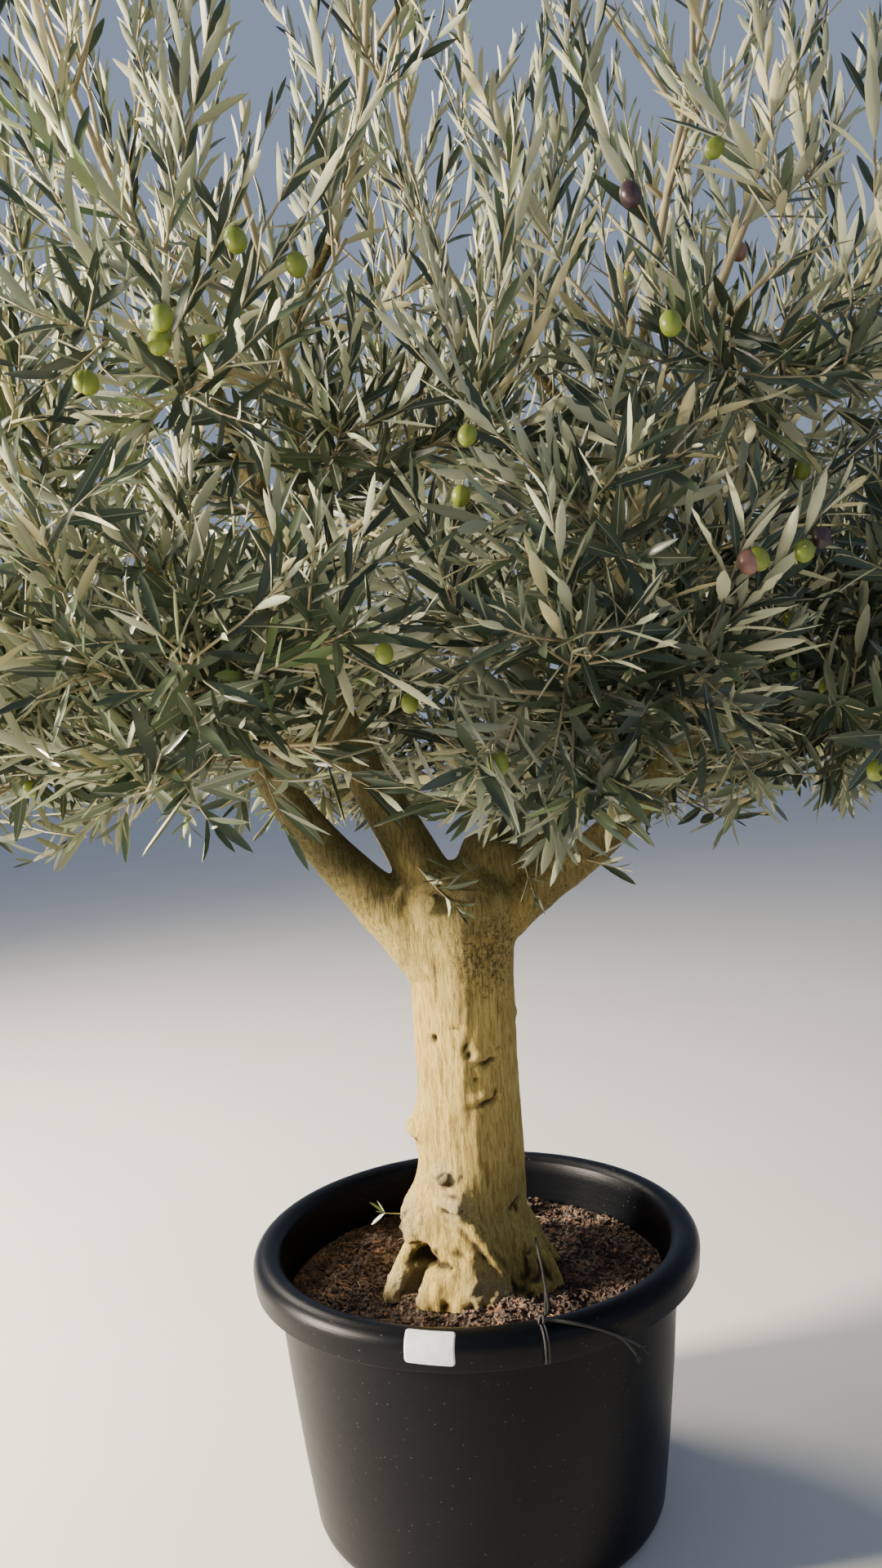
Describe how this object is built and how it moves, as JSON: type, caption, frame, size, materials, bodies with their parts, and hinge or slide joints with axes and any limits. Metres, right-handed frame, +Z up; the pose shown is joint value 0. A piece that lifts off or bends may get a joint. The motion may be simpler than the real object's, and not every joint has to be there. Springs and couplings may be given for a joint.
{
  "type": "potted olive tree",
  "caption": "Pollarded olive tree with a stout trunk, spreading boughs and an open evergreen crown, standing in a round black container with a rolled rim.",
  "frame": {"origin": "middle of the container's flat underside", "axes": "+Z up along the trunk, +X to the right and -Y towards the viewer in the picture"},
  "size_m": [1.6391, 1.6355, 2.4243],
  "materials": {
    "container": "satin black moulded polyethylene, lightly scuffed",
    "soil": "matt peat and bark compost with coarse chips",
    "bark": "rough fissured bark, straw grey with olive green and dark speckles",
    "bough_bark": "younger bark, grey green to straw",
    "foliage": "narrow leathery leaves, grey green above and silvery beneath, on pale twigs",
    "twigs": "smooth pale tan to grey green twigs",
    "olives": "waxy green fruit with a few turning dark",
    "label": "plain white label, blank",
    "twine": "thin black synthetic twine"
  },
  "bodies": {
    "root": {"bough_back_left": "bough_bark", "bough_back_right": "bough_bark", "bough_left": "bough_bark", "bough_left_upright": "bough_bark", "bough_right": "bough_bark", "bough_right_upright": "bough_bark", "foliage_centre": "foliage", "foliage_lower_0": "foliage", "foliage_lower_1": "foliage", "foliage_lower_2": "foliage", "foliage_lower_3": "foliage", "foliage_lower_4": "foliage", "foliage_lower_5": "foliage", "foliage_lower_6": "foliage", "foliage_lower_7": "foliage", "foliage_middle_0": "foliage", "foliage_middle_1": "foliage", "foliage_middle_2": "foliage", "foliage_middle_3": "foliage", "foliage_middle_4": "foliage", "foliage_middle_5": "foliage", "foliage_middle_6": "foliage", "foliage_top": "foliage", "foliage_upper_0": "foliage", "foliage_upper_1": "foliage", "foliage_upper_2": "foliage", "foliage_upper_3": "foliage", "foliage_upper_4": "foliage", "foliage_upper_5": "foliage", "limb_centre": "bough_bark", "limb_lower_0": "bough_bark", "limb_lower_1": "bough_bark", "limb_lower_2": "bough_bark", "limb_lower_3": "bough_bark", "limb_lower_4": "bough_bark", "limb_lower_5": "bough_bark", "limb_lower_6": "bough_bark", "limb_lower_7": "bough_bark", "limb_middle_0": "bough_bark", "limb_middle_2": "bough_bark", "limb_middle_5": "bough_bark", "limb_top": "bough_bark", "limb_upper_1": "bough_bark", "limb_upper_2": "bough_bark", "limb_upper_4": "bough_bark", "limb_upper_5": "bough_bark", "pot": "container", "soil": "soil", "trunk": "bark"}
  },
  "joints": []
}
